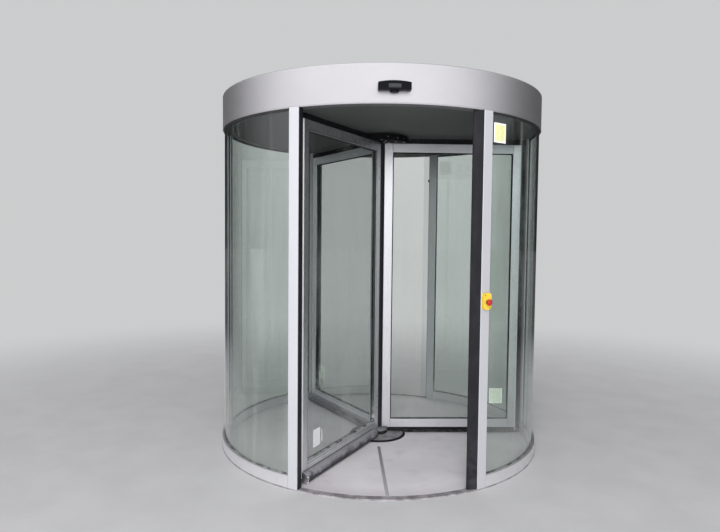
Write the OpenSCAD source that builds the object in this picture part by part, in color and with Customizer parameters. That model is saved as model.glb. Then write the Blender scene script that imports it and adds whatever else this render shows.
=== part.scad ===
// Three-wing revolving door: a round glazed drum with a ring canopy and a turning rotor
// Millimetres, +Z up, origin on the floor at the turning axis, street side towards -Y

/* [Drum] */
// Radius of the drum over its base rails and posts
drum_r = 1133; // [1000:1:1500]
// Radial depth of the posts and side mullions
post_depth = 44; // [40:1:70]
// Width of each post, measured along the wall
post_w = 66; // [50:1:90]
// Width of each side mullion, where the building's glazing meets the drum
mullion_w = 50; // [40:1:70]
// Half angle of each doorway, to the near edge of its posts
doorway_half_angle = 27.7; // [22:0.1:30]
// Clear height from the floor to the lower edge of the canopy
passage_h = 2200; // [2050:5:2500]

/* [Walls] */
// Thickness of the curved wall glass
wall_glass_t = 11; // [8:1:13]
// Radial distance from the drum's outside to the glass
wall_glass_setback = 19; // [17:1:22]
// Rubber on each side of the glass in its groove
wall_gasket_t = 3; // [2:0.5:4]
// How deep the glass sits in its grooves
glass_bite = 15; // [12:1:18]
// Height of the base rails above the floor
base_rail_h = 72; // [50:1:110]
// Radial depth of the base rails and the head ring's inner edge
base_rail_depth = 44; // [40:1:50]
// Depth of the small shadow joint under each base rail
rail_foot_inset = 2; // [1:0.5:4]

/* [Floor] */
// Thickness of the threshold ring and of the floor slab
floor_t = 8; // [6:1:20]
// Width of the threshold ring
ring_w = 44; // [30:1:60]
// Joint between the ring and the slab
slab_joint = 1; // [0.5:0.5:2]
// Radius of the cover disc over the floor bearing
bearing_cover_r = 200; // [150:1:260]
// Height of that disc above the floor
bearing_cover_h = 10; // [8:1:14]

/* [Canopy] */
// Height of the canopy ring
canopy_h = 218; // [150:1:400]
// How far the canopy ring stands behind the drum's outside
canopy_setback = 7; // [2:1:12]
// Sheet thickness of the canopy ring
canopy_skin = 3; // [2:0.5:4]
// Width of the canopy ring's top and bottom flanges
canopy_flange = 26; // [15:1:40]
// Height of the head ring that holds the glass
head_ring_h = 40; // [30:1:80]
// Height of the ceiling above the canopy's lower edge
ceiling_lift = 3; // [2:1:12]
// Thickness of the ceiling panel
ceiling_t = 6; // [4:1:12]
// Width of the soffit between the canopy's outside and the ceiling panel
soffit_w = 76; // [50:1:78]
// Thickness of the dust cover on the canopy
roof_t = 3; // [2:0.5:6]
// Radius of the round bearing plate under the ceiling
top_plate_r = 125; // [100:1:180]
// Thickness of that plate
top_plate_t = 12; // [8:1:14]

/* [Rotor] */
// Distance from the turning axis to the inner edge of a wing's frame
wing_start = 31; // [28:1:45]
// Thickness of a wing's frame
wing_t = 40; // [34:1:50]
// Width of the wing's stiles
stile_w = 62; // [50:1:80]
// Height of the wing's top rail
top_rail_h = 64; // [50:1:90]
// Height of the wing's bottom rail
bottom_rail_h = 62; // [50:1:90]
// Height of a wing's lower edge above the floor
wing_lift = 51; // [40:1:70]
// Gap between a wing's frame and the ceiling, closed by the brush
wing_head_gap = 49; // [30:1:60]
// Width of the brush on a wing's outer edge
edge_brush_w = 41; // [25:1:60]
// Thickness of the wing glass
wing_glass_t = 8; // [6:1:12]
// Rubber on each side of the wing glass
wing_gasket_t = 3; // [2:0.5:4]
// How deep the wing glass sits in its frame
wing_glass_bite = 12; // [9:1:15]
// Wall thickness of the wing and post profiles
profile_wall = 3; // [2:0.5:4]
// Rounding of the profiles' long edges
edge_r = 3; // [1:0.5:5]

/* [Brushes] */
// Clearance between the brushes' tips and what they pass
brush_gap = 6; // [5:0.5:12]
// Thickness of the bristles
brush_t = 9; // [6:1:11]
// Width of the slot that holds a brush
brush_slot_w = 12; // [11:1:14]
// Depth of that slot
brush_slot_d = 8; // [6:1:10]

/* [Bumpers] */
// Height of the rounded bumper along the foot of each wing's leading face
bumper_h = 58; // [40:1:66]
// How far the bumper stands out from the wing's face, and the radius of its rounded top
bumper_d = 40; // [26:1:50]
// Rounding of its lower front edge
bumper_foot_r = 10; // [4:1:16]
// How far its back laps over the bottom rail
bumper_lap = 15; // [10:1:25]

/* [Bearings] */
// Radius of the lower pivot pin
pivot_r = 25; // [15:1:30]
// Radius of the upper drive shaft
drive_r = 30; // [20:1:40]
// Clearance of the drive shaft in the ceiling panel
drive_clearance = 3; // [2:0.5:6]
// Running clearance around and under the pins
pin_gap = 0.3; // [0.2:0.1:0.6]
// Radius of the clamp disc over the wings' inner ends
clamp_disc_r = 205; // [140:1:240]
// Radius of the hub plate under the wings
lower_hub_r = 76; // [45:1:80]
// Thickness of that plate
lower_hub_t = 16; // [12:1:30]
// How far the neck below that plate stands back from its rim
hub_neck_inset = 4; // [2:1:16]
// Gap between the hub plates and the fixed plates that they turn on
hub_gap = 0.8; // [0.4:0.1:0.9]

/* [Safety edges] */
// How far the rubber safety edge reaches into the doorway
safety_edge_w = 56; // [30:1:70]
// How far its face falls back from the post's face
safety_edge_fall = 24; // [10:1:32]
// Thickness of the plain rubber seal on the other post of a doorway
post_seal_t = 3; // [2:0.5:6]

/* [Sensor] */
// Width of a motion sensor
sensor_w = 180; // [120:1:220]
// Height of a motion sensor without its lens
sensor_h = 57; // [40:1:80]
// Depth of a motion sensor in front of the canopy
sensor_d = 42; // [30:1:60]
// Height of the sensor's lower edge above the canopy's lower edge
sensor_lift = 56; // [40:1:120]
// Radius of the domed lens where it leaves the sensor's underside
lens_r = 26; // [20:1:40]
// How far the lens stands below the sensor
lens_drop = 11; // [8:1:20]
// Rise of the sensor's arched top over its width
sensor_arch = 9; // [4:1:14]

/* [Stop switch] */
// Width of the stop switch's housing
stop_w = 58; // [50:1:62]
// Height of the stop switch's housing
stop_h = 98; // [70:1:120]
// Depth of the stop switch's housing
stop_d = 20; // [18:1:40]
// Corner rounding of the housing
stop_corner_r = 20; // [8:1:24]
// Height of the stop switch above the ground
stop_z = 1115; // [800:5:1300]
// How far the button sits below the middle of the housing
button_drop = 5; // [0:1:12]
// Radius of the red button
button_r = 18; // [14:1:24]
// Height of the button's head
button_h = 14; // [10:1:16]
// Rise of the head's domed top
button_crown = 5; // [2:0.5:7]
// Height of the head's underside above the housing, with the button out
button_lift = 10; // [7:1:14]
// Radius of the button's stem
button_stem_r = 8; // [5:1:10]
// How far the button moves when pressed
button_travel = 4; // [3:0.5:6]

/* [Hidden] */
WINGS = ["a", "b", "c"];
WALLS = ["front_right", "rear_right", "rear_left", "front_left"];
$fn = 180;
SMALL_FN = 48;
// How far a cutting shape runs past what it cuts
PAST = 1;
// Play of a glass sheet at the bottom of its grooves
GLASS_PLAY = 2;

wall_count = len(WALLS);
wing_count = len(WINGS);
third = 360 / wing_count;

post_in_r = drum_r - post_depth;
post_angle = 90 - doorway_half_angle - asin(post_w / 2 / drum_r);
glass_out_r = drum_r - wall_glass_setback;
glass_in_r = glass_out_r - wall_glass_t;
groove_out_r = glass_out_r + wall_gasket_t;
groove_in_r = glass_in_r - wall_gasket_t;
rail_in_r = drum_r - base_rail_depth;
canopy_r = drum_r - canopy_setback;
canopy_in_r = canopy_r - canopy_skin;
base_rail_top = floor_t + base_rail_h;
head_z = floor_t + passage_h;
upright_h = head_z - floor_t;
ceiling_z = head_z + ceiling_lift;
ceiling_r = rail_in_r - pin_gap;
canopy_top = head_z + canopy_h;

brush_tip_r = post_in_r - brush_gap;
wing_reach = brush_tip_r - edge_brush_w;
wing_bottom = floor_t + wing_lift;
wing_top = ceiling_z - wing_head_gap;
wing_h = wing_top - wing_bottom;
inner_stile_end = wing_start + stile_w;
outer_stile_start = wing_reach - stile_w;
bearing_top = floor_t + bearing_cover_h;
lower_hub_z = bearing_top + hub_gap;
top_plate_z = ceiling_z - top_plate_t;
upper_hub_top = top_plate_z - hub_gap;
low_brush_step_r = bearing_cover_r + brush_gap;
bumper_start = lower_hub_r + hub_gap;
bumper_top = wing_bottom + bumper_lap;
stem_end = drum_r + stop_d / 2;
button_z = stop_z - button_drop;

silver = "#c9c9cc";
dark = "#26272b";
glass = "#9fb4ac80";

// Rectangle with rounded corners, its near left corner at the origin
module soft_rect(w, h, r) {
    translate([r, 0]) square([w - 2 * r, h]);
    translate([0, r]) square([w, h - 2 * r]);
    for (x = [r, w - r], y = [r, h - r])
        translate([x, y]) circle(r, $fn = SMALL_FN);
}

// Ring or part of a ring from one radius to another, between two heights
module arc_band(r_in, r_out, z_low, z_high, from, sweep) {
    rotate([0, 0, from]) rotate_extrude(angle = sweep)
        translate([r_in, z_low]) square([r_out - r_in, z_high - z_low]);
}

// Plain block around an upright at one angle of the wall, for cutting what meets it
module upright_block(angle, w, z_low, z_high) {
    in_r = min(post_in_r, rail_in_r) - PAST;
    rotate([0, 0, angle]) translate([in_r, -w / 2, z_low])
        cube([drum_r - in_r + 2 * PAST, w, z_high - z_low]);
}

// What lies outside a quarter circle in its square, for rounding a corner
module corner_cut(r) {
    difference() {
        square(r + PAST);
        circle(r, $fn = 2 * SMALL_FN);
    }
}

// Radius of the arc whose cap has a given half width and height
function cap_radius(half, rise) = (half * half + rise * rise) / (2 * rise);

// Angle of the post and of the mullion that one quarter of the wall spans between
function quarter_sign(i) = i % 2 == 0 ? -1 : 1;
function mullion_angle(i) = i < wall_count / 2 ? 0 : 180;
function post_at(i) = mullion_angle(i) + quarter_sign(i) * post_angle;
function arc_from(i) = min(mullion_angle(i), post_at(i));

// Threshold ring under the posts and base rails
module floor_ring() {
    color("#8d8c8a") arc_band(drum_r - ring_w, drum_r, 0, floor_t, 0, 360);
}

// Round floor slab inside the ring
module floor_slab() {
    color("#c9c3bf") cylinder(r = drum_r - ring_w - slab_joint, h = floor_t);
}

// Low disc over the floor bearing, bored for the pivot pin
module floor_bearing_cover() {
    color("#4a4b4d") difference() {
        union() {
            translate([0, 0, floor_t]) cylinder(r = bearing_cover_r, h = bearing_cover_h - edge_r);
            translate([0, 0, bearing_top - edge_r])
                cylinder(r1 = bearing_cover_r, r2 = bearing_cover_r - edge_r, h = edge_r);
        }
        translate([0, 0, floor_t - PAST])
            cylinder(r = pivot_r + pin_gap, h = bearing_cover_h + 2 * PAST);
    }
}

// Cross-section of a base rail, with a groove for the glass and sloping shoulders
module base_rail_profile() {
    slope = wall_gasket_t;
    difference() {
        polygon([
            [rail_in_r + rail_foot_inset, floor_t],
            [drum_r - rail_foot_inset, floor_t],
            [drum_r - rail_foot_inset, floor_t + 2 * rail_foot_inset],
            [drum_r, floor_t + 2 * rail_foot_inset],
            [drum_r, base_rail_top - slope],
            [drum_r - slope, base_rail_top],
            [rail_in_r + slope, base_rail_top],
            [rail_in_r, base_rail_top - slope],
            [rail_in_r, floor_t + 2 * rail_foot_inset],
            [rail_in_r + rail_foot_inset, floor_t + 2 * rail_foot_inset]
        ]);
        translate([groove_in_r, base_rail_top - glass_bite])
            square([groove_out_r - groove_in_r, glass_bite + PAST]);
    }
}

// Curved base rail of one quarter of the wall, cut to the uprights at its ends
module base_rail(i) {
    color(silver) difference() {
        rotate([0, 0, arc_from(i)]) rotate_extrude(angle = post_angle) base_rail_profile();
        upright_block(post_at(i), post_w, 0, base_rail_top + PAST);
        upright_block(mullion_angle(i), mullion_w, 0, base_rail_top + PAST);
    }
}

// Curved glass of one quarter of the wall, standing in the rails' and uprights' grooves
module wall_glass(i) {
    hidden = 2 * (glass_bite - GLASS_PLAY);
    low = base_rail_top - glass_bite;
    high = head_z + glass_bite - GLASS_PLAY;
    color(glass) difference() {
        arc_band(glass_in_r, glass_out_r, low, high, arc_from(i), post_angle);
        upright_block(post_at(i), post_w - hidden, low - PAST, high + PAST);
        upright_block(mullion_angle(i), mullion_w - hidden, low - PAST, high + PAST);
    }
}

// Groove for the glass in an upright, in its cross-section, on the side given by its sign
module upright_groove(w, side) {
    x = groove_in_r - post_in_r;
    y = side > 0 ? w / 2 - glass_bite : -w / 2 - PAST;
    translate([x, y]) square([groove_out_r - groove_in_r, glass_bite + PAST]);
}

// Hollow chamber of an upright, in its cross-section, in front of and behind the grooves
module upright_chambers(w) {
    back = groove_in_r - post_in_r - 2 * profile_wall;
    web = w - 2 * glass_bite - 2 * profile_wall;
    translate([profile_wall, -w / 2 + profile_wall]) square([back, w - 2 * profile_wall]);
    translate([back + 2 * profile_wall, -web / 2])
        square([post_depth - back - 3 * profile_wall, web]);
}

// Post beside a doorway, an extruded profile with one glass groove
module post(i) {
    color(silver) rotate([0, 0, post_at(i)]) translate([post_in_r, 0, floor_t])
        linear_extrude(upright_h) difference() {
            translate([0, -post_w / 2]) soft_rect(post_depth, post_w, edge_r);
            upright_groove(post_w, -quarter_sign(i));
            upright_chambers(post_w);
        }
}

// Side mullion with a groove on both sides
module side_mullion(angle) {
    color(silver) rotate([0, 0, angle]) translate([post_in_r, 0, floor_t])
        linear_extrude(upright_h) difference() {
            translate([0, -mullion_w / 2]) soft_rect(post_depth, mullion_w, edge_r);
            upright_groove(mullion_w, 1);
            upright_groove(mullion_w, -1);
            upright_chambers(mullion_w);
        }
}

// Rubber safety edge on the post that the wings close against, its nose rounded
module safety_edge(i) {
    nose_r = (post_depth - safety_edge_fall - edge_r) / 2;
    mount_x = post_in_r + edge_r;
    color(dark) rotate([0, 0, post_at(i)]) mirror([0, 1, 0])
        translate([0, post_w / 2, floor_t]) linear_extrude(upright_h) {
            polygon([
                [mount_x, 0],
                [drum_r - edge_r, 0],
                [drum_r - safety_edge_fall, safety_edge_w - nose_r],
                [mount_x, safety_edge_w - nose_r]
            ]);
            translate([mount_x + nose_r, safety_edge_w - nose_r])
                circle(nose_r, $fn = SMALL_FN);
        }
}

// Plain rubber seals on the other two posts
module post_seals() {
    for (i = [1, 3])
        color(dark) rotate([0, 0, post_at(i)]) translate([post_in_r + edge_r, post_w / 2, floor_t])
            cube([post_depth - 2 * edge_r, post_seal_t, upright_h]);
}

// Head ring that the glass stands into, with a soffit flange that the ceiling rests on
module head_ring(from) {
    color("#6f7073") rotate([0, 0, from]) rotate_extrude(angle = 180) difference() {
        union() {
            translate([rail_in_r, head_z]) square([canopy_in_r - rail_in_r, head_ring_h]);
            translate([canopy_r - soffit_w, head_z]) square([soffit_w - canopy_skin, ceiling_lift]);
        }
        translate([groove_in_r, head_z - PAST])
            square([groove_out_r - groove_in_r, glass_bite + PAST]);
    }
}

// Canopy ring of curved sheet with a flange at its top
module canopy(from) {
    color(silver) rotate([0, 0, from]) rotate_extrude(angle = 180) {
        translate([canopy_in_r, head_z]) square([canopy_skin, canopy_h - roof_t]);
        translate([canopy_r - canopy_flange, canopy_top - roof_t - canopy_skin])
            square([canopy_flange, canopy_skin]);
        translate([canopy_r - canopy_flange, head_z + head_ring_h])
            square([canopy_flange, canopy_skin]);
    }
}

// Ceiling panel with a hole for the drive shaft
module ceiling() {
    hole_r = drive_r + drive_clearance;
    color("#3a3b3d") arc_band(hole_r, ceiling_r, ceiling_z, ceiling_z + ceiling_t, 0, 360);
}

// Dust cover on the canopy's top flange
module roof_cover() {
    color("#9a9a9c") translate([0, 0, canopy_top - roof_t]) cylinder(r = canopy_r, h = roof_t);
}

// Round bearing plate under the ceiling, bored for the drive shaft
module top_bearing_plate() {
    color(dark) difference() {
        translate([0, 0, top_plate_z]) cylinder(r = top_plate_r, h = top_plate_t);
        translate([0, 0, top_plate_z - PAST])
            cylinder(r = drive_r + pin_gap, h = top_plate_t + 2 * PAST);
    }
}

// Motion sensor on the canopy, with an arched top and a round lens below
module sensor(angle) {
    low = head_z + sensor_lift;
    arch_r = cap_radius(sensor_w / 2, sensor_arch);
    body_low = low + sensor_h - arch_r;
    dome_r = cap_radius(lens_r, lens_drop);
    color(dark) rotate([0, 0, angle]) difference() {
        union() {
            intersection() {
                translate([canopy_r - sensor_d / 2, -sensor_w / 2, low])
                    cube([sensor_d * 3 / 2, sensor_w, sensor_h]);
                translate([canopy_r - sensor_d, 0, body_low]) rotate([0, 90, 0])
                    cylinder(r = arch_r, h = 3 * sensor_d);
            }
            intersection() {
                translate([canopy_r + sensor_d - lens_r, 0, low - lens_drop + dome_r])
                    sphere(dome_r, $fn = 2 * SMALL_FN);
                translate([canopy_r - sensor_d, -lens_r, low - lens_drop - PAST])
                    cube([2 * sensor_d, 2 * lens_r, lens_drop + 2 * PAST]);
            }
        }
        cylinder(r = canopy_r, h = canopy_top);
    }
}

// Flat shape of the stop switch's housing
module stop_outline() {
    translate([-stop_w / 2, -stop_h / 2]) soft_rect(stop_w, stop_h, stop_corner_r);
}

// Housing of the stop switch on the face of the front right post
module stop_housing() {
    color("#e3c21c") rotate([0, 0, post_at(0)]) translate([drum_r, 0, stop_z]) rotate([90, 0, 90])
        difference() {
            linear_extrude(stop_d) stop_outline();
            translate([0, -button_drop, stop_d / 2 - button_travel - pin_gap])
                cylinder(r = button_stem_r + pin_gap, h = stop_d, $fn = SMALL_FN);
        }
}

// Red mushroom button with its stem in the housing
module stop_button() {
    crown_r = cap_radius(button_r, button_crown);
    head_low = stop_d / 2 + button_lift;
    head_top = head_low + button_h;
    color("#b3202a") rotate([0, 0, post_at(0)]) translate([stem_end, 0, button_z]) rotate([90, 0, 90])
        rotate_extrude($fn = SMALL_FN) {
            square([button_stem_r, head_low + PAST]);
            translate([0, head_low]) square([button_r, button_h - button_crown]);
            intersection() {
                translate([0, head_top - crown_r]) circle(crown_r, $fn = 2 * SMALL_FN);
                translate([0, head_low + PAST]) square([button_r, button_h]);
            }
        }
}

// Column between the three wings, an extruded profile with a flat seat for each
module centre_column() {
    color(dark) translate([0, 0, wing_bottom]) linear_extrude(wing_h)
        difference() {
            union() {
                circle(wing_start - edge_r, $fn = 2 * SMALL_FN);
                for (k = [0 : wing_count - 1])
                    rotate([0, 0, k * third]) translate([0, -wing_t / 4])
                        square([wing_start, wing_t / 2]);
            }
            circle(wing_start - edge_r - 2 * profile_wall, $fn = SMALL_FN);
        }
}

// Necked hub under the wings and the clamp disc over them, its rim bevelled
module rotor_hubs() {
    color(dark) {
        translate([0, 0, wing_bottom - lower_hub_t]) cylinder(r = lower_hub_r, h = lower_hub_t);
        translate([0, 0, lower_hub_z])
            cylinder(r = lower_hub_r - hub_neck_inset, h = wing_bottom - lower_hub_z);
        translate([0, 0, wing_top]) cylinder(r1 = clamp_disc_r - edge_r, r2 = clamp_disc_r, h = edge_r);
        translate([0, 0, wing_top + edge_r])
            cylinder(r = clamp_disc_r, h = upper_hub_top - wing_top - edge_r);
    }
}

// Pivot pin in the floor bearing and drive shaft through the ceiling
module rotor_shafts() {
    pin_low = floor_t + pin_gap;
    shaft_top = ceiling_z + ceiling_t + top_plate_t;
    color("#7c7d80") {
        translate([0, 0, pin_low]) cylinder(r = pivot_r, h = lower_hub_z - pin_low);
        translate([0, 0, upper_hub_top]) cylinder(r = drive_r, h = shaft_top - upper_hub_top);
    }
}

// Cross-section of a wing profile: chamber, glass groove at its end, brush slot at its start
module wing_profile(w, brush) {
    difference() {
        translate([0, -wing_t / 2]) soft_rect(w, wing_t, edge_r);
        groove_w = wing_glass_t + 2 * wing_gasket_t;
        translate([w - wing_glass_bite, -groove_w / 2])
            square([wing_glass_bite + PAST, groove_w]);
        if (brush)
            translate([-PAST, -brush_slot_w / 2]) square([brush_slot_d + PAST, brush_slot_w]);
        low = brush_slot_d + profile_wall;
        translate([low, -wing_t / 2 + profile_wall])
            square([w - wing_glass_bite - profile_wall - low, wing_t - 2 * profile_wall]);
    }
}

// The two upright stiles of a wing
module wing_stiles(k) {
    color(silver) rotate([0, 0, k * third]) translate([0, 0, wing_bottom]) {
        translate([wing_start, 0, 0]) linear_extrude(wing_h) wing_profile(stile_w, false);
        translate([wing_reach, 0, 0]) mirror([1, 0, 0]) linear_extrude(wing_h)
            wing_profile(stile_w, true);
    }
}

// The top and bottom rails of a wing, between its stiles
module wing_rails(k) {
    span = outer_stile_start - inner_stile_end;
    color(silver) rotate([0, 0, k * third]) {
        translate([inner_stile_end, 0, wing_bottom]) rotate([90, 0, 90]) linear_extrude(span)
            rotate([0, 0, 90]) wing_profile(bottom_rail_h, true);
        translate([inner_stile_end, 0, wing_top]) rotate([90, 0, 90]) linear_extrude(span)
            rotate([0, 0, -90]) wing_profile(top_rail_h, true);
    }
}

// The flat glass of a wing, standing in the bottom rail's groove
module wing_glass(k) {
    bite = wing_glass_bite - GLASS_PLAY;
    low = wing_bottom + bottom_rail_h - wing_glass_bite;
    high = wing_top - top_rail_h + bite;
    color(glass) rotate([0, 0, k * third])
        translate([inner_stile_end - bite, -wing_glass_t / 2, low])
            cube([outer_stile_start - inner_stile_end + 2 * bite, wing_glass_t, high - low]);
}

// A straight brush: bristles in front of the edge and a back in the slot
module brush(length, reach, slot_from, slot_length) {
    back_w = brush_slot_w - 2 * pin_gap;
    translate([0, -brush_t / 2, 0]) cube([length, brush_t, reach]);
    translate([slot_from, -back_w / 2, -brush_slot_d]) cube([slot_length, back_w, brush_slot_d]);
}

// Cross-section of a bumper, its back at the origin: a wide round over a smaller one
module bumper_profile() {
    difference() {
        square([bumper_d, bumper_h]);
        translate([0, bumper_h - bumper_d]) corner_cut(bumper_d);
        translate([bumper_d - bumper_foot_r, bumper_foot_r]) mirror([0, 1, 0]) corner_cut(bumper_foot_r);
    }
}

// Rounded rubber bumper along the foot of a wing, on the face that leads as it turns,
// its inner end turned in to that face
module wing_bumper(k) {
    straight_from = bumper_start + bumper_d;
    color("#6f6e74") difference() {
        rotate([0, 0, k * third]) translate([straight_from, wing_t / 2, bumper_top - bumper_h]) {
            rotate([90, 0, 90]) linear_extrude(wing_reach - straight_from) bumper_profile();
            rotate([0, 0, 90]) rotate_extrude(angle = 90) bumper_profile();
        }
        cylinder(r = low_brush_step_r, h = bearing_top + brush_gap);
    }
}

// The brushes along the top, the bottom and the outer edge of a wing
module wing_brushes(k) {
    top_start = clamp_disc_r + pin_gap;
    top_reach = head_z - brush_gap - wing_top;
    low_reach = wing_lift - brush_gap;
    short_reach = wing_bottom - bearing_top - brush_gap;
    low_start = lower_hub_r + pin_gap;
    short_length = low_brush_step_r - low_start;
    unslotted = max(inner_stile_end - low_start, 0);
    color(dark) rotate([0, 0, k * third]) {
        translate([top_start, 0, wing_top])
            brush(brush_tip_r - top_start, top_reach, 0, outer_stile_start - top_start);
        translate([low_start, 0, wing_bottom]) mirror([0, 0, 1])
            brush(short_length, short_reach, unslotted, short_length - unslotted);
        translate([low_brush_step_r, 0, wing_bottom]) mirror([0, 0, 1])
            brush(brush_tip_r - low_brush_step_r, low_reach, 0, outer_stile_start - low_brush_step_r);
        translate([wing_reach, 0, wing_bottom]) rotate([0, 90, 0]) mirror([1, 0, 0])
            brush(wing_h, edge_brush_w, 0, wing_h);
    }
}

floor_ring();
floor_slab();
floor_bearing_cover();
for (i = [0 : wall_count - 1]) {
    base_rail(i);
    wall_glass(i);
    post(i);
}
side_mullion(0);  // side_mullion_right
side_mullion(180);  // side_mullion_left
safety_edge(0);  // safety_edge_front
safety_edge(2);  // safety_edge_rear
post_seals();
head_ring(180);  // head_ring_front
head_ring(0);  // head_ring_rear
canopy(180);  // canopy_front
canopy(0);  // canopy_rear
ceiling();
roof_cover();
top_bearing_plate();
sensor(270);  // sensor_front
sensor(90);  // sensor_rear
stop_housing();
stop_button();
centre_column();
rotor_hubs();
rotor_shafts();
for (k = [0 : wing_count - 1]) {
    wing_stiles(k);
    wing_rails(k);
    wing_glass(k);
    wing_bumper(k);
    wing_brushes(k);
}
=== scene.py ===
import random
from math import asin, cos, degrees, pi, radians, sin, sqrt

import bmesh
import bpy
from mathutils import Matrix, Vector


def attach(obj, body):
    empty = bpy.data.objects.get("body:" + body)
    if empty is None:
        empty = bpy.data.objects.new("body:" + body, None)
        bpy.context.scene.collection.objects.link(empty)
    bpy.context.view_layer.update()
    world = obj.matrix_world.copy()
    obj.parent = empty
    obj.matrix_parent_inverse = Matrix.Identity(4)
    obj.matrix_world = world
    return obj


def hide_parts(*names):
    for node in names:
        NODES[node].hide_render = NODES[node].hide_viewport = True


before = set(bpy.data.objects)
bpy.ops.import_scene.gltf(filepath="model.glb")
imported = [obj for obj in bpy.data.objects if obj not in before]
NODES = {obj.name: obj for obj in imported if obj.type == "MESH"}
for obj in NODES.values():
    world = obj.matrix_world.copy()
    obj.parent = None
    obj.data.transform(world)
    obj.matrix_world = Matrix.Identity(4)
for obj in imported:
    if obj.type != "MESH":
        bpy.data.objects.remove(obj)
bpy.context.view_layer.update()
random.seed(7)

# Sizes in metres and angles in degrees, as in the CAD model
DRUM_R = 1.133
POST_D = 0.044
POST_W = 0.066
MULLION_W = 0.050
DOORWAY_HALF = 27.7
FLOOR = 0.008
RAIL_TOP = 0.080
GLASS_OUT = 1.114
GLASS_IN = 1.103
GROOVE = 0.003
HEAD_Z = 2.208
CEILING_Z = 2.211
CANOPY_R = 1.126
CANOPY_TOP = 2.426
SOFFIT_IN = 1.050
COVER_R = 0.200
COVER_TOP = 0.018
WING_T = 0.040
WING_START = 0.031
STILE = 0.062
REACH = 1.042
WING_LOW = 0.059
WING_TOP = 2.162
TOP_RAIL = 0.064
LOW_RAIL = 0.062
WING_GLASS_T = 0.008
BRUSH_TIP = 1.083
BRUSH_GAP = 0.006
BRUSH_T = 0.009
DISC_R = 0.205
HUB_R = 0.076
BUMPER_TOP = 0.074
BUMPER_H = 0.058
BUMPER_D = 0.040
BUMPER_FOOT_R = 0.010
STOP_Z = 1.115
STOP_D = 0.020
STOP_W = 0.058
STOP_H = 0.098
BUTTON_Z = 1.110
BUTTON_R = 0.018
BUTTON_LIFT = 0.010
BUTTON_H = 0.014
SENSOR_LOW = 2.264
SENSOR_D = 0.042
SENSOR_W = 0.180
SENSOR_H = 0.057
SENSOR_ARCH = 0.009
PLATE_T = 0.012

# Sizes of what only this file draws
RIM_W = 0.008
GASKET_H = 0.005
SEAL_LIP = 0.0025
SENSOR_RISE = 0.009
COLLAR_R = 0.0272
TUFT_STEP = 0.0018
TUFT_T = 0.0014
STRIP_W = 0.021
STRIP_X = 0.007
STRIP_ENDS = (0.290, 1.084)
STRIP_T = 0.0008
COVER_SCREW_R = 0.172
SOFFIT_SCREW_R = 1.072
ROOF_SEAM_X = 0.56
ROOF_SEAM_R = 1.112
ROOF_RIM = (1.118, 1.1255)
ROOF_SCREW_R = 1.106
KNOB_Z = 1.985
JOINT_W = 0.0020
LINE_W = 0.0006
LINE_T = 0.0003
EDGE_R = 0.0072
FOOT_Z = 0.0355
STICKER_T = 0.0006

POST_ANGLE = 90 - DOORWAY_HALF - degrees(asin(POST_W / 2 / DRUM_R))
POST_IN = DRUM_R - POST_D
WINGS = {"a": 0, "b": 120, "c": 240}
WALLS = ["front_right", "rear_right", "rear_left", "front_left"]
SMOOTH_ANGLE = radians(35)
BACKDROP = (0.60, 0.605, 0.61)


# ---- Geometry ----

def turn(angle, x=0.0, y=0.0, z=0.0):
    """A place turned by an angle about the drum's axis, then moved along its own axes."""
    return Matrix.Rotation(radians(angle), 4, "Z") @ Matrix.Translation((x, y, z))


# Turns that point local Z down, along Y or along X
DOWN = Matrix.Rotation(pi, 4, "X")
TO_Y = Matrix.Rotation(-pi / 2, 4, "X")
TO_X = Matrix.Rotation(pi / 2, 4, "Y")


class Solid:
    """Collects closed shapes in one mesh."""

    def __init__(self):
        self.verts = []
        self.faces = []

    def add(self, verts, faces, place=None):
        base = len(self.verts)
        if place is not None:
            verts = [place @ Vector(v) for v in verts]
        self.verts += [tuple(v) for v in verts]
        self.faces += [tuple(base + i for i in face) for face in faces]
        return self

    def rings(self, rings, place=None, loop=False):
        """Joins closed rings of points into a tube."""
        n = len(rings[0])
        count = len(rings)
        verts = [p for ring in rings for p in ring]
        faces = []
        for i in range(count if loop else count - 1):
            a, b = i * n, (i + 1) % count * n
            faces += [(a + j, a + (j + 1) % n, b + (j + 1) % n, b + j) for j in range(n)]
        if not loop:
            faces += [tuple(range(n))[::-1], tuple(range((count - 1) * n, count * n))]
        return self.add(verts, faces, place)

    def arc(self, profile, start, end, steps=None):
        """Sweeps a closed profile of (radius, height) about the axis, from one angle to another."""
        whole = abs(end - start) >= 359.99
        steps = steps or max(2, int(abs(end - start) / 2))
        stops = [radians(start + (end - start) * i / steps) for i in range(steps + (not whole))]
        return self.rings([[(r * cos(a), r * sin(a), z) for r, z in profile] for a in stops], None, whole)

    def lathe(self, profile, place, steps=24):
        """Turns an open profile of (radius, height) about local Z. Its ends lie on the axis."""
        verts, faces, rows = [], [], []
        for r, z in profile:
            if r < 1e-6:
                rows.append([len(verts)])
                verts.append((0, 0, z))
            else:
                rows.append(list(range(len(verts), len(verts) + steps)))
                verts += [(r * cos(2 * pi * i / steps), r * sin(2 * pi * i / steps), z) for i in range(steps)]
        for a, b in zip(rows, rows[1:]):
            for i in range(steps):
                j = (i + 1) % steps
                quad = [a[i % len(a)], a[j % len(a)], b[j % len(b)], b[i % len(b)]]
                face = list(dict.fromkeys(quad))
                if len(face) > 2:
                    faces.append(tuple(face))
        return self.add(verts, faces, place)

    def block(self, low, high, place=None, bevel=0.0):
        """A block with its edges along local Z cut off."""
        (x0, y0, z0), (x1, y1, z1) = low, high
        b = bevel
        outline = [(x0 + b, y0), (x1 - b, y0), (x1, y0 + b), (x1, y1 - b),
                   (x1 - b, y1), (x0 + b, y1), (x0, y1 - b), (x0, y0 + b)]
        if not b:
            outline = [(x0, y0), (x1, y0), (x1, y1), (x0, y1)]
        return self.rings([[(x, y, z) for x, y in outline] for z in (z0, z1)], place)


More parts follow.
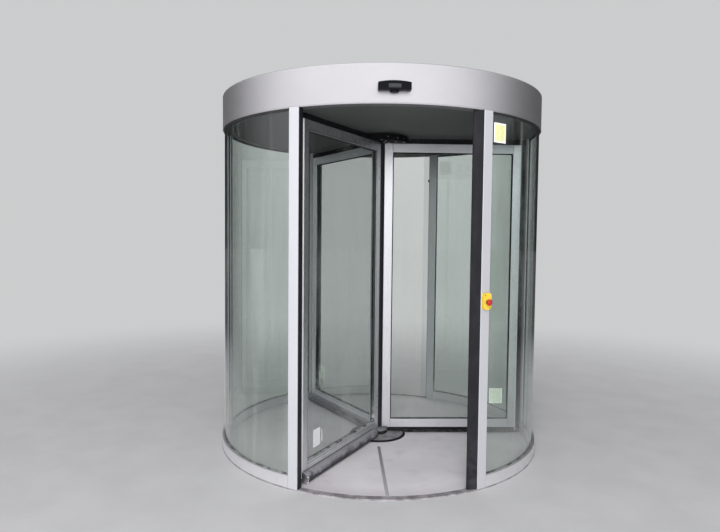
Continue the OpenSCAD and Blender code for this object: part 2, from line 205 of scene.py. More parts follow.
def rounded(w, h, r, steps=5):
    """Outline of a rounded rectangle about the origin."""
    points = []
    for cx, cy, a0 in ((w / 2 - r, h / 2 - r, 0), (r - w / 2, h / 2 - r, 90),
                       (r - w / 2, r - h / 2, 180), (w / 2 - r, r - h / 2, 270)):
        for i in range(steps + 1):
            a = radians(a0 + 90 * i / steps)
            points.append((cx + r * cos(a), cy + r * sin(a)))
    return points


def add_object(name, data):
    """Makes an object of a mesh, lamp or camera and puts it in the scene."""
    obj = bpy.data.objects.new(name, data)
    bpy.context.scene.collection.objects.link(obj)
    return obj


def piece(name, solid, material, body, replaces=(), bevel=0.0):
    """Makes the mesh object of a Solid and rides it on its body."""
    mesh = bpy.data.meshes.new(name)
    mesh.from_pydata(solid.verts, [], solid.faces)
    work = bmesh.new()
    work.from_mesh(mesh)
    bmesh.ops.remove_doubles(work, verts=work.verts, dist=1e-6)
    bmesh.ops.recalc_face_normals(work, faces=work.faces)
    if bevel:
        sharp = [e for e in work.edges if len(e.link_faces) == 2 and e.calc_face_angle() > SMOOTH_ANGLE]
        bmesh.ops.bevel(work, geom=sharp, offset=bevel, segments=2, profile=0.5, affect="EDGES", clamp_overlap=True)
    work.to_mesh(mesh)
    work.free()
    mesh.polygons.foreach_set("use_smooth", [True] * len(mesh.polygons))
    mesh.set_sharp_from_angle(angle=SMOOTH_ANGLE)
    mesh.materials.append(material)
    obj = add_object(name, mesh)
    if replaces:
        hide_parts(*replaces)
    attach(obj, body)
    return obj


# ---- Materials ----

class Nodes:
    """Short calls for building a node tree."""

    def __init__(self, owner, coordinates):
        owner.use_nodes = True
        self.tree = owner.node_tree
        self.place = self.new("ShaderNodeTexCoord").outputs[coordinates]

    def new(self, kind, **settings):
        node = self.tree.nodes.new(kind)
        for key, value in settings.items():
            setattr(node, key, value)
        return node

    def link(self, source, target):
        self.tree.links.new(source, target)

    def put(self, socket, value):
        if hasattr(value, "is_output"):
            self.link(value, socket)
        elif socket.type == "RGBA":
            socket.default_value = (*value[:3], 1.0)
        else:
            socket.default_value = value

    def math(self, operation, a, b=0.0):
        node = self.new("ShaderNodeMath", operation=operation)
        self.put(node.inputs[0], a)
        self.put(node.inputs[1], b)
        return node.outputs[0]

    def span(self, value, low, high, out_low=0.0, out_high=1.0, smooth=True):
        node = self.new("ShaderNodeMapRange", interpolation_type="SMOOTHSTEP" if smooth else "LINEAR")
        for i, v in enumerate((value, low, high, out_low, out_high)):
            self.put(node.inputs[i], v)
        return node.outputs[0]

    def mix(self, factor, a, b):
        node = self.new("ShaderNodeMix", data_type="RGBA")
        self.put(node.inputs[0], factor)
        self.put(node.inputs[6], a)
        self.put(node.inputs[7], b)
        return node.outputs[2]

    def noise(self, scale, detail=4.0, stretch=(1, 1, 1), shift=(0, 0, 0), roughness=0.55):
        mapping = self.new("ShaderNodeMapping")
        self.link(self.place, mapping.inputs["Vector"])
        mapping.inputs["Scale"].default_value = stretch
        mapping.inputs["Location"].default_value = shift
        node = self.new("ShaderNodeTexNoise")
        self.link(mapping.outputs[0], node.inputs["Vector"])
        node.inputs["Scale"].default_value = scale
        node.inputs["Detail"].default_value = detail
        node.inputs["Roughness"].default_value = roughness
        return node.outputs[0]

    def axes(self, vector=None):
        """X, Y and Z of a vector, or of the place where none is given."""
        split = self.new("ShaderNodeSeparateXYZ")
        self.link(self.place if vector is None else vector, split.inputs[0])
        return split.outputs

    def height(self):
        return self.axes()[2]

    def radius(self):
        x, y, _ = self.axes()
        return self.math("SQRT", self.math("ADD", self.math("MULTIPLY", x, x), self.math("MULTIPLY", y, y)))

    def seen(self):
        """1 where the eye sees the surface, straight or through glass, and 0 in reflections and in diffuse light."""
        path = self.new("ShaderNodeLightPath").outputs
        return self.math("MULTIPLY", self.math("LESS_THAN", path["Diffuse Depth"], 0.5),
                         self.math("LESS_THAN", path["Glossy Depth"], 0.5))


class Look(Nodes):
    """The node tree of one material. Coordinates are the object's own."""

    def __init__(self, name):
        self.material = bpy.data.materials.new(name)
        super().__init__(self.material, "Object")
        self.bsdf = self.tree.nodes["Principled BSDF"]

    def set(self, **values):
        for key, value in values.items():
            self.put(self.bsdf.inputs[key.replace("_", " ")], value)

    def blend_with(self, shader, factor):
        """Shows another shader in place of the surface, by a factor."""
        both = self.new("ShaderNodeMixShader")
        for socket, source in zip(both.inputs, (factor, self.bsdf.outputs[0], shader.outputs[0])):
            self.link(source, socket)
        self.link(both.outputs[0], self.tree.nodes["Material Output"].inputs["Surface"])

    def bump(self, height, distance, strength):
        node = self.new("ShaderNodeBump")
        node.inputs["Strength"].default_value = strength
        node.inputs["Distance"].default_value = distance
        self.link(height, node.inputs["Height"])
        self.link(node.outputs[0], self.bsdf.inputs["Normal"])


def finish_metal(name, color, metallic, rough, grain=(1, 1, 1), dust=0.5, dust_top=0.35,
                 dust_color=(0.30, 0.28, 0.27), mottle=0.10, shine=0.5):
    """Satin metal: fine grain, faint cloudiness, small scuffs, and dust that thickens towards the floor."""
    n = Look(name)
    cloud = n.noise(2.3, 5.0, shift=(3.1, 1.7, 0.4))
    tint = n.mix(n.span(cloud, 0.35, 0.68, 0.0, mottle), color, tuple(0.72 * c for c in color))
    scuff = n.span(n.noise(46.0, 7.0, (1, 1, 0.22), (1.3, 0.2, 5.0)), 0.64, 0.74)
    tint = n.mix(n.math("MULTIPLY", scuff, 0.16), tint, tuple(0.45 * c for c in color))
    low = n.span(n.height(), 0.0, dust_top, 1.0, 0.0)
    patch = n.span(n.noise(9.0, 6.0, (1, 1, 0.6)), 0.38, 0.66)
    cover = n.math("MULTIPLY", n.math("MULTIPLY", low, n.math("ADD", n.math("MULTIPLY", patch, 0.75), 0.25)), dust)
    n.set(Base_Color=n.mix(cover, tint, dust_color))
    fine = n.noise(420.0, 3.0, grain)
    worn = n.math("ADD", n.span(fine, 0.3, 0.7, rough[0], rough[1], False), n.math("MULTIPLY", cover, 0.35))
    n.set(Roughness=worn, Metallic=n.math("SUBTRACT", metallic, n.math("MULTIPLY", cover, metallic * 0.8)),
          Specular_IOR_Level=shine)
    n.bump(fine, 0.00004, 0.35)
    return n.material


def glass_material(name, color, shadow, smear, dust_top):
    """Clear glass with a faint greenish grey tint, dried runs, smears and dust, and soft shadows for lamps."""
    n = Look(name)
    runs = n.span(n.noise(26.0, 5.0, (1, 1, 0.035), (0.4, 2.2, 1.0)), 0.52, 0.80)
    wipe = n.span(n.noise(3.2, 5.0, (1.2, 1.2, 0.55), (7.0, 0.0, 2.0)), 0.50, 0.74)
    spots = n.span(n.noise(120.0, 2.0), 0.69, 0.76)
    low = n.span(n.height(), 0.05, dust_top, 1.0, 0.0)
    film = n.math("MULTIPLY", n.math("ADD", n.math("MULTIPLY", runs, 0.45), n.math("MULTIPLY", wipe, 0.30)), smear)
    film = n.math("ADD", film, n.math("MULTIPLY", n.math("MULTIPLY", low, n.math("ADD", spots, 0.30)), smear * 1.5))
    film = n.math("ADD", film, n.math("MULTIPLY", spots, smear * 0.35))
    film = n.math("MINIMUM", film, 0.6)
    n.set(Base_Color=n.mix(film, color, (0.58, 0.57, 0.55)), Roughness=n.math("MULTIPLY", film, 0.35))
    n.set(Transmission_Weight=n.math("SUBTRACT", 1.0, n.math("MULTIPLY", film, 0.8)), IOR=1.5)
    clear = n.new("ShaderNodeBsdfTransparent")
    n.put(clear.inputs["Color"], shadow)
    n.blend_with(clear, n.new("ShaderNodeLightPath").outputs["Is Shadow Ray"])
    return n.material


def rubber_material(name, color, rough, dust, dust_top, dust_color=(0.22, 0.21, 0.205), ribs=None):
    """Matt rubber or plastic with a cloudy surface and settled dust."""
    n = Look(name)
    cloud = n.span(n.noise(14.0, 6.0, (1, 1, 0.4)), 0.4, 0.7)
    tint = n.mix(n.math("MULTIPLY", cloud, 0.30), color, tuple(min(1.0, 1.9 * c + 0.01) for c in color))
    low = n.span(n.height(), 0.0, dust_top, 1.0, 0.0)
    patch = n.span(n.noise(23.0, 6.0), 0.36, 0.66)
    cover = n.math("MULTIPLY", n.math("MULTIPLY", low, patch), dust)
    n.set(Base_Color=n.mix(cover, tint, dust_color))
    fine = n.noise(ribs or 600.0, 2.0, (1, 1, 0.02) if ribs else (1, 1, 1))
    n.set(Roughness=n.span(fine, 0.2, 0.8, rough - 0.08, rough + 0.1, False), Specular_IOR_Level=0.25)
    n.bump(fine, 0.0002 if ribs else 0.00005, 0.4)
    return n.material


def bumper_material(name):
    """Grey rubber roll: painted light on its rounded top and painted shade towards the floor, dust on the top, rubbed
    in patches.
    """
    n = Look(name)
    rub = n.noise(11.0, 6.0, (1, 1, 1.6), (2.0, 5.0, 1.0), 0.65)
    turned = n.math("ADD", n.height(), n.span(rub, 0.25, 0.75, -0.026, 0.026, False))
    # Painted light and shade: pale on the rounded top, dark towards the floor, with a rubbed, uneven border
    pale = n.span(turned, BUMPER_TOP - BUMPER_H + 0.012, BUMPER_TOP - 0.006)
    tint = n.mix(pale, (0.026, 0.024, 0.034), (0.27, 0.267, 0.290))
    smudge = n.span(n.noise(38.0, 7.0, (1, 1, 0.7), (6.0, 1.0, 3.0), 0.65), 0.56, 0.70)
    tint = n.mix(n.math("MULTIPLY", smudge, 0.6), tint, (0.075, 0.072, 0.080))
    dust = n.span(n.noise(90.0, 5.0), 0.55, 0.72)
    tint = n.mix(n.math("MULTIPLY", n.math("MULTIPLY", dust, pale), 0.5), tint, (0.46, 0.45, 0.45))
    n.set(Base_Color=tint, Roughness=n.span(rub, 0.3, 0.7, 0.55, 0.75, False))
    n.bump(n.noise(500.0, 2.0), 0.00006, 0.4)
    return n.material


def stone_material(name):
    """Honed grey screed with fine grit, soft stains and scattered building dust."""
    n = Look(name)
    grit = n.noise(260.0, 4.0)
    cloud = n.noise(2.6, 6.0, shift=(1.0, 4.0, 0.0))
    stain = n.span(n.noise(6.5, 7.0, shift=(4.0, 0.5, 0.0)), 0.52, 0.72)
    tint = n.mix(n.span(cloud, 0.35, 0.65), (0.785, 0.745, 0.785), (0.87, 0.83, 0.865))
    tint = n.mix(n.math("MULTIPLY", n.span(grit, 0.42, 0.70), 0.25), tint, (0.42, 0.40, 0.42))
    tint = n.mix(n.math("MULTIPLY", stain, 0.25), tint, (0.47, 0.44, 0.46))
    crumbs = n.span(n.noise(70.0, 3.0, shift=(2.0, 9.0, 0.0)), 0.72, 0.77)
    tint = n.mix(n.math("MULTIPLY", crumbs, 0.5), tint, (0.74, 0.72, 0.70))
    rim = n.span(n.radius(), 0.96, 1.09, 0.0, 0.35)
    tint = n.mix(rim, tint, (0.42, 0.40, 0.42))
    n.set(Base_Color=tint, Roughness=n.span(cloud, 0.3, 0.7, 0.55, 0.75, False))
    n.bump(grit, 0.0002, 0.4)
    return n.material


def ring_material(name):
    """Worn threshold metal under dried cement dust, with dark blotches."""
    n = Look(name)
    blotch = n.noise(13.0, 8.0, roughness=0.7)
    fine = n.noise(90.0, 6.0)
    tint = n.mix(n.span(blotch, 0.38, 0.60), (0.42, 0.395, 0.42), (0.21, 0.195, 0.205))
    tint = n.mix(n.math("MULTIPLY", n.span(fine, 0.50, 0.72), 0.35), tint, (0.52, 0.49, 0.51))
    n.set(Base_Color=tint, Metallic=0.15, Roughness=n.span(blotch, 0.3, 0.7, 0.55, 0.8, False))
    n.bump(n.math("ADD", blotch, n.math("MULTIPLY", fine, 0.5)), 0.0012, 0.5)
    return n.material


def cover_material(name):
    """Dark disc: dusty on its flat top, black at its rim."""
    n = Look(name)
    patch = n.span(n.noise(16.0, 7.0), 0.35, 0.65, 0.45, 1.0)
    flat = n.span(n.radius(), 0.186, 0.194, 1.0, 0.0)
    cover = n.math("MULTIPLY", patch, flat)
    n.set(Base_Color=n.mix(cover, (0.006, 0.006, 0.007), (0.34, 0.335, 0.35)), Metallic=0.0, Specular_IOR_Level=0.3)
    n.set(Roughness=n.span(cover, 0.0, 1.0, 0.4, 0.72, False))
    n.bump(n.noise(220.0, 3.0), 0.0001, 0.3)
    return n.material


def plastic_material(name, color, rough, wear, coat=0.0, shine=0.5):
    """Moulded plastic with a faint texture, small scuffs and dust in patches."""
    n = Look(name)
    cloud = n.span(n.noise(30.0, 5.0), 0.4, 0.72)
    scuff = n.span(n.noise(160.0, 5.0, (1, 1, 0.4)), 0.62, 0.70)
    tint = n.mix(n.math("MULTIPLY", cloud, wear), color, tuple(0.6 * c + 0.03 for c in color))
    tint = n.mix(n.math("MULTIPLY", scuff, wear * 0.5), tint, tuple(min(1.0, 1.1 * c + 0.04) for c in color))
    n.set(Base_Color=tint, Coat_Weight=coat, Coat_Roughness=0.12, Specular_IOR_Level=shine)
    n.set(Roughness=n.span(cloud, 0.0, 1.0, rough, rough + 0.14, False))
    n.bump(n.noise(900.0, 2.0), 0.00004, 0.3)
    return n.material


def bristle_material(name):
    """Black nylon bristles, a little dusty near the floor."""
    n = Look(name)
    strand = n.noise(700.0, 2.0, (1, 1, 0.1))
    low = n.span(n.height(), 0.0, 0.30, 0.3, 0.0)
    tint = n.mix(n.span(strand, 0.35, 0.65), (0.004, 0.004, 0.005), (0.014, 0.014, 0.016))
    n.set(Base_Color=n.mix(n.math("MULTIPLY", low, n.span(n.noise(30.0), 0.4, 0.65)), tint, (0.14, 0.135, 0.13)))
    n.set(Roughness=n.span(strand, 0.3, 0.7, 0.42, 0.62, False), Specular_IOR_Level=0.2)
    return n.material


def label_material(name, color, edge, centre, half_w, half_h, along):
    """A bare sticker with a paler border, slightly dirty."""
    n = Look(name)
    dirt = n.span(n.noise(60.0, 5.0), 0.45, 0.75, 0.0, 0.35)
    shift = n.new("ShaderNodeVectorMath", operation="SUBTRACT")
    n.link(n.place, shift.inputs[0])
    shift.inputs[1].default_value = centre
    flat = n.new("ShaderNodeVectorMath", operation="DOT_PRODUCT")
    n.link(shift.outputs[0], flat.inputs[0])
    flat.inputs[1].default_value = along
    above = n.axes(shift.outputs[0])[2]
    inside = n.math("MULTIPLY", n.math("LESS_THAN", n.math("ABSOLUTE", flat.outputs["Value"]), half_w),
                    n.math("LESS_THAN", n.math("ABSOLUTE", above), half_h))
    n.set(Base_Color=n.mix(dirt, n.mix(inside, edge, color), (0.45, 0.44, 0.40)), Roughness=0.45)
    return n.material


SILVER = finish_metal("silver_satin", (0.90, 0.90, 0.935), 0.95, (0.25, 0.35), (1, 1, 0.03), 0.2)
# Wing c's frame: the same satin silver made darker, as painted shade for the wing that stands in shade
SILVER_PAINTED_SHADE = finish_metal("silver_satin_painted_shade", (0.74, 0.755, 0.77), 0.95, (0.25, 0.35), (1, 1, 0.03))
POST_SILVER = finish_metal("post_satin", (0.565, 0.565, 0.60), 0.33, (0.36, 0.48), (1, 1, 0.03), 0.10)
RAIL_SILVER = finish_metal("rail_satin", (0.84, 0.83, 0.85), 0.80, (0.36, 0.48), (0.05, 0.05, 1), 0.30, 0.08,
                           (0.46, 0.44, 0.45))
SILVER_FLAT = finish_metal("silver_satin_level", (0.86, 0.86, 0.90), 0.92, (0.32, 0.42), (0.05, 0.05, 1), 0.12)
CANOPY = finish_metal("canopy_satin", (0.665, 0.65, 0.67), 0.93, (0.38, 0.48), (0.04, 0.04, 1), mottle=0.16)
ROOF = finish_metal("roof_sheet", (0.42, 0.42, 0.43), 0.45, (0.45, 0.6), (1, 0.05, 1), mottle=0.5)
SOFFIT = finish_metal("soffit_metal", (0.21, 0.205, 0.215), 0.3, (0.45, 0.6), (0.05, 0.05, 1))
CEILING = finish_metal("ceiling_paint", (0.105, 0.11, 0.107), 0.0, (0.55, 0.7), (1, 1, 1), mottle=0.35)
DARK = finish_metal("dark_satin", (0.010, 0.010, 0.012), 0.0, (0.40, 0.52), (1, 1, 0.05), 0.5, 0.4,
                    (0.08, 0.078, 0.076), shine=0.3)
BLACK = finish_metal("black_matt", (0.004, 0.004, 0.005), 0.0, (0.62, 0.78), (1, 1, 1), 0.5, 0.10, (0.05, 0.05, 0.05),
                     shine=0.12)
# Rounded edges of the wings' outer stiles: aluminium shown near white and not metallic, a painted highlight of the
# bright street they reflect
EDGE_PAINTED_HIGHLIGHT = finish_metal("edge_painted_highlight", (0.95, 0.95, 0.975), 0.0, (0.34, 0.46), (1, 1, 0.03), 0.3)
STEEL = finish_metal("machined_steel", (0.42, 0.42, 0.43), 0.95, (0.25, 0.4), (0.05, 0.05, 1))
SCREW = finish_metal("screw_steel", (0.30, 0.30, 0.31), 0.9, (0.28, 0.42))
STRIP = finish_metal("floor_strip", (0.40, 0.385, 0.41), 0.1, (0.55, 0.7), (1, 1, 1), 0.35, 0.3, (0.34, 0.32, 0.33))
HUB_PLATE = finish_metal("hub_dusty", (0.105, 0.106, 0.114), 0.1, (0.5, 0.7), (1, 1, 1), 0.8, 0.2,
                         (0.19, 0.188, 0.193))
WALL_GLASS = glass_material("wall_glass", (0.775, 0.825, 0.80), (0.84, 0.87, 0.855), 0.24, 0.55)
WING_GLASS = glass_material("wing_glass", (0.83, 0.865, 0.845), (0.88, 0.905, 0.89), 0.20, 0.45)
EDGE_RUBBER = rubber_material("edge_rubber", (0.0115, 0.0112, 0.0145), 0.58, 0.10, 0.5, ribs=90.0)
GASKET = rubber_material("gasket_rubber", (0.007, 0.007, 0.008), 0.5, 0.95, 0.22, (0.26, 0.25, 0.25))
WALL_GASKET = rubber_material("wall_gasket_rubber", (0.030, 0.030, 0.031), 0.5, 1.5, 0.30, (0.27, 0.265, 0.27))
BEAD = rubber_material("glazing_bead", (0.030, 0.031, 0.033), 0.5, 2.4, 0.36, (0.34, 0.34, 0.355))
BUMPER = bumper_material("bumper_rubber")
CAP_RUBBER = rubber_material("cap_rubber", (0.040, 0.038, 0.042), 0.6, 0.9, 0.12, (0.20, 0.19, 0.19))
BRISTLE = bristle_material("brush_bristle")
STONE = stone_material("floor_screed")
RING = ring_material("threshold_worn")
COVER = cover_material("cover_disc")
SENSOR = plastic_material("sensor_black", (0.004, 0.004, 0.006), 0.30, 0.03, 0.0, 0.08)
LENS = plastic_material("sensor_lens", (0.012, 0.013, 0.018), 0.12, 0.02, 0.3, 0.5)
YELLOW = plastic_material("stop_yellow", (0.78, 0.56, 0.055), 0.32, 0.12)
RED = plastic_material("stop_red", (0.46, 0.022, 0.025), 0.28, 0.12)
# Pale screw heads at each bumper's end: their near-white colour is a painted glint
SCREW_PAINTED_GLINT = plastic_material("screw_painted_glint", (0.72, 0.72, 0.70), 0.35, 0.2)

LOOKS = {
    "floor_ring": RING, "floor_slab": STONE, "floor_bearing_cover": COVER, "base_rail": RAIL_SILVER,
    "wall_glass": WALL_GLASS, "post": POST_SILVER, "side_mullion": POST_SILVER, "safety_edge": EDGE_RUBBER,
    "post_seals": EDGE_RUBBER, "head_ring": SOFFIT, "canopy": CANOPY, "ceiling": CEILING, "roof_cover": ROOF,
    "top_bearing_plate": DARK, "sensor": SENSOR, "stop_housing": YELLOW, "stop_button": RED,
    "centre_column": DARK, "rotor_hubs": BLACK, "rotor_shafts": STEEL, "wing_stiles": SILVER,
    "wing_rails": SILVER_FLAT, "wing_glass": WING_GLASS, "wing_bumper": BUMPER, "wing_brushes": BRISTLE,
}
for node_name, node in NODES.items():
    plain = node_name.replace("wing_a_", "wing_").replace("wing_b_", "wing_").replace("wing_c_", "wing_")
    look = next(LOOKS[key] for key in sorted(LOOKS, key=len, reverse=True) if plain.startswith(key))
    # Wing c's stiles and rails take the darker copy of the silver: painted shade
    if node_name in ("wing_c_stiles", "wing_c_rails"):
        look = SILVER_PAINTED_SHADE
    node.data.materials.clear()
    node.data.materials.append(look)


# ---- Walls: gaskets ----

def quarter(i):
    """Mullion angle and post angle of one quarter of the wall, and which way it runs."""
    mullion = 0 if i < 2 else 180
    sign = -1 if i % 2 == 0 else 1
    return mullion, mullion + sign * POST_ANGLE, sign


def band(r0, r1, z0, z1):
    """Rectangular section for an arc."""
    return [(r0, z0), (r1, z0), (r1, z1), (r0, z1)]


GASKET_TOP = RAIL_TOP + GASKET_H
for i, wall in enumerate(WALLS):
    mullion, post, sign = quarter(i)
    from_mullion = mullion + sign * degrees(MULLION_W / 2 / DRUM_R)
    to_post = post - sign * degrees(POST_W / 2 / DRUM_R)
    a0, a1 = sorted((from_mullion, to_post))
    seal = Solid()
    for r0, r1, slope in ((GLASS_OUT, GLASS_OUT + GROOVE + SEAL_LIP, 1),
                          (GLASS_IN - GROOVE - SEAL_LIP, GLASS_IN, -1)):
        inner, outer = (r0, r1) if slope > 0 else (r1, r0)
        seal.arc([(inner, RAIL_TOP - 0.004), (inner, GASKET_TOP), (inner + slope * 0.0015, GASKET_TOP),
                  (outer, RAIL_TOP + 0.0005), (outer - slope * SEAL_LIP, RAIL_TOP - 0.004)], a0, a1)
        seal.arc([(inner, HEAD_Z - 0.013), (inner + slope * 0.004, HEAD_Z - 0.013), (outer, HEAD_Z - 0.001),
                  (outer, HEAD_Z + 0.004), (inner, HEAD_Z + 0.004)], a0, a1)
        for angle, side, half in ((mullion, sign, MULLION_W / 2), (post, -sign, POST_W / 2)):
            foot = side * (half - 0.004)
            tip = side * (half + 0.005)
            seal.rings([[(x, y, z) for x, y in ((inner, foot), (outer - slope * SEAL_LIP, foot),
                        (outer, side * (half + 0.0005)), (inner + slope * 0.0015, tip), (inner, tip))]
                        for z in (RAIL_TOP, HEAD_Z)], turn(angle))
    piece("wall_gasket_" + wall, seal, WALL_GASKET, "drum")

# ---- Floor: joint strips, cover rim with painted shadow, and cover screws ----

strips = Solid()
for side in (-1, 1):
    near, far = sorted(side * end for end in STRIP_ENDS)
    middle = side * STRIP_X
    strips.block((middle - STRIP_W / 2, near, FLOOR), (middle + STRIP_W / 2, far, FLOOR + STRIP_T))
piece("floor_strips", strips, STRIP, "drum", bevel=0.0003)

# A black ring round the cover disc: its rubber edge, drawn wider so that it also stands as the painted shadow at the
# disc's edge
RIM_R = COVER_R + RIM_W
rim = Solid().arc([(COVER_R - 0.001, FLOOR), (RIM_R, FLOOR), (RIM_R - 0.001, FLOOR + 0.002),
                   (RIM_R - 0.005, FLOOR + 0.005), (COVER_R - 0.001, FLOOR + 0.006)], 0, 360, 120)
piece("cover_rim_painted_shadow", rim, BLACK, "drum")


def cap_screw(solid, place, r, h, sides=24):
    """Round screw head with a round recess."""
    solid.lathe([(0, 0), (r, 0), (r, h * 0.7), (r * 0.86, h), (r * 0.5, h), (r * 0.46, h * 0.45), (0, h * 0.4)],
                place, sides)


def hex_bolt(solid, place, r, h):
    """Hexagon bolt head on a washer."""
    solid.lathe([(0, 0), (r * 1.5, 0), (r * 1.5, h * 0.22), (0, h * 0.22)], place, 24)
    solid.lathe([(0, h * 0.22), (r, h * 0.22), (r, h * 0.86), (r * 0.86, h), (0, h)], place, 6)


screws = Solid()
for k in range(6):
    cap_screw(screws, turn(30 + 60 * k, COVER_SCREW_R, 0, COVER_TOP), 0.006, 0.0022)
piece("cover_screws", screws, SCREW, "drum")

# ---- Canopy, ceiling and roof ----

seams = Solid()
for side in (0, 180):
    width = degrees(0.0015 / CANOPY_R)
    seams.arc(band(CANOPY_R - 0.001, CANOPY_R + 0.0004, HEAD_Z, CANOPY_TOP - 0.003), side - width, side + width, 2)
piece("canopy_seams", seams, GASKET, "drum")

lip = Solid().arc([(CANOPY_R - 0.0035, HEAD_Z - 0.0022), (CANOPY_R, HEAD_Z - 0.0022), (CANOPY_R + 0.0012, HEAD_Z),
                   (CANOPY_R + 0.0012, HEAD_Z + 0.004), (CANOPY_R, HEAD_Z + 0.0055),
                   (CANOPY_R - 0.0035, HEAD_Z + 0.001)], 0, 360, 180)
piece("canopy_edge", lip, CANOPY, "drum")

joints = Solid()
joints.arc(band(SOFFIT_IN - 0.0025, SOFFIT_IN, CEILING_Z - 0.0012, CEILING_Z + 0.0005), 0, 360, 180)
piece("ceiling_joints", joints, GASKET, "drum")

screws = Solid()
for k in range(24):
    cap_screw(screws, turn(7.5 + 15 * k, SOFFIT_SCREW_R, 0, HEAD_Z) @ DOWN, 0.0045, 0.0016, 16)
for k in range(4):
    cap_screw(screws, turn(45 + 90 * k, 0.105, 0, CEILING_Z - PLATE_T) @ DOWN, 0.006, 0.0025)
piece("ceiling_screws", screws, DARK, "drum")

roof = Solid()
for x in (-ROOF_SEAM_X, 0.0, ROOF_SEAM_X):
    half = sqrt(ROOF_SEAM_R ** 2 - x * x)
    roof.block((x - 0.011, -half, CANOPY_TOP), (x + 0.011, half, CANOPY_TOP + 0.0016))
roof.arc(band(*ROOF_RIM, CANOPY_TOP, CANOPY_TOP + 0.002), 0, 360, 180)
piece("roof_seams", roof, ROOF, "drum", bevel=0.0004)

screws = Solid()
for k in range(36):
    cap_screw(screws, turn(5 + 10 * k, ROOF_SCREW_R, 0, CANOPY_TOP), 0.005, 0.0022, 16)
piece("roof_screws", screws, SCREW, "drum")

# ---- Motion sensors ----

def sensor(name, angle):
    """A motion sensor: housing with its round collar, parting line, end cap lines and lens window."""
    front = CANOPY_R + SENSOR_D
    half = SENSOR_W / 2
    arch_r = (half * half + SENSOR_ARCH * SENSOR_ARCH) / (2 * SENSOR_ARCH)
    outline = [(half, SENSOR_LOW + SENSOR_RISE), (-half, SENSOR_LOW + SENSOR_RISE)]
    for i in range(25):
        y = -half + SENSOR_W * i / 24
        outline.append((y, SENSOR_LOW + SENSOR_H - arch_r + sqrt(arch_r * arch_r - y * y)))
    back = [(sqrt((CANOPY_R - 0.0005) ** 2 - y * y), y, z) for y, z in outline]
    housing = Solid().rings([back, [(front, y, z) for y, z in outline]], turn(angle))
    housing.lathe([(0, 0.012), (COLLAR_R, 0.012), (COLLAR_R - 0.0004, 0.005), (0.0235, -0.0005),
                   (0.0150, -0.0030), (0, -0.0030)], turn(angle, front - COLLAR_R - 0.0002, 0, SENSOR_LOW), 48)
    piece(name + "_housing", housing, SENSOR, "drum", replaces=(name,), bevel=0.0008)
    trim = Solid()
    trim.block((front - 0.0004, -half + 0.012, SENSOR_LOW + 0.014),
               (front + 0.0009, half - 0.012, SENSOR_LOW + 0.0152), turn(angle))
    for side in (-1, 1):
        y = side * (half - 0.011)
        trim.block((front - 0.030, y - 0.0006, SENSOR_LOW + 0.0085), (front + 0.0006, y + 0.0006, SENSOR_LOW + 0.044),
                   turn(angle))
    piece(name + "_lines", trim, GASKET, "drum")
    window = Solid()
    window.rings([[(x, y, SENSOR_LOW + z) for x, z in ((front - 0.001, 0.0165), (front + 0.0014, 0.0175),
                                                      (front + 0.0018, 0.029), (front + 0.0012, 0.0395),
                                                      (front - 0.001, 0.0405))]
                  for y in (-0.034, 0.034)], turn(angle))
    piece(name + "_window", window, LENS, "drum", bevel=0.0004)


sensor("sensor_front", 270)
sensor("sensor_rear", 90)

# ---- Emergency stop switch ----

stop_place = turn(-POST_ANGLE, DRUM_R, 0, STOP_Z) @ TO_X @ Matrix.Rotation(pi / 2, 4, "Z")
seam = Solid()
seam_section = ((0.0008, 0.0098), (0.0008, 0.0106), (-0.003, 0.0106), (-0.003, 0.0098))
seam.rings([[(x, y, z) for x, y in rounded(STOP_W + more, STOP_H + more, 0.020 + more / 2)]
            for more, z in seam_section], stop_place, loop=True)
piece("stop_seam", seam, GASKET, "drum")
button_place = stop_place @ Matrix.Translation((0, BUTTON_Z - STOP_Z, STOP_D))
ring = Solid()
ring.lathe([(0.0086, 0), (0.0135, 0), (0.0135, 0.003), (0.0120, 0.0046), (0.0086, 0.0046), (0.0086, 0)],
           button_place, 40)
piece("stop_collar", ring, GASKET, "drum")
screws = Solid()
for x, y in ((-0.017, 0.036), (0.017, -0.038)):
    cap_screw(screws, stop_place @ Matrix.Translation((x, y, STOP_D)), 0.0035, 0.0014, 20)
piece("stop_screws", screws, DARK, "drum")
grip = Solid()
head = BUTTON_LIFT + BUTTON_H * 0.25
grip.lathe([(BUTTON_R - 0.001, head), (BUTTON_R + 0.0008, head + 0.0008), (BUTTON_R + 0.0008, head + 0.0042),
            (BUTTON_R - 0.001, head + 0.005), (BUTTON_R - 0.001, head)], button_place, 48)
piece("stop_grip", grip, RED, "stop_button")

# ---- Post knob ----

knob = Solid()
knob_place = turn(POST_ANGLE, POST_IN + 0.012, POST_W / 2 + 0.003, KNOB_Z) @ TO_Y
knob.lathe([(0, 0), (0.011, 0), (0.011, 0.008), (0.008, 0.012), (0, 0.013)], knob_place, 24)
piece("post_knob", knob, DARK, "drum")

# ---- Wings ----

def frame_strip(solid, wing_angle, side):
    """Gasket or bead round one face of a wing's glass: a rounded rectangle with a sloping section."""
    x0, x1 = WING_START + STILE, REACH - STILE
    z0, z1 = WING_LOW + LOW_RAIL, WING_TOP - TOP_RAIL
    face = WING_GLASS_T / 2
    rows = []
    for inset, y, radius in ((-0.0005, face, 0.004), (-0.0005, 0.0176, 0.004), (0.0016, 0.0180, 0.005),
                             (0.0030, 0.0165, 0.006), (0.0068, face + 0.0012, 0.010), (0.0068, face, 0.010)):
        w, h = x1 - x0 - 2 * inset, z1 - z0 - 2 * inset
        rows.append([((x0 + x1) / 2 + px, side * y, (z0 + z1) / 2 + pz) for px, pz in rounded(w, h, radius)])
    solid.rings(rows, turn(wing_angle), loop=True)


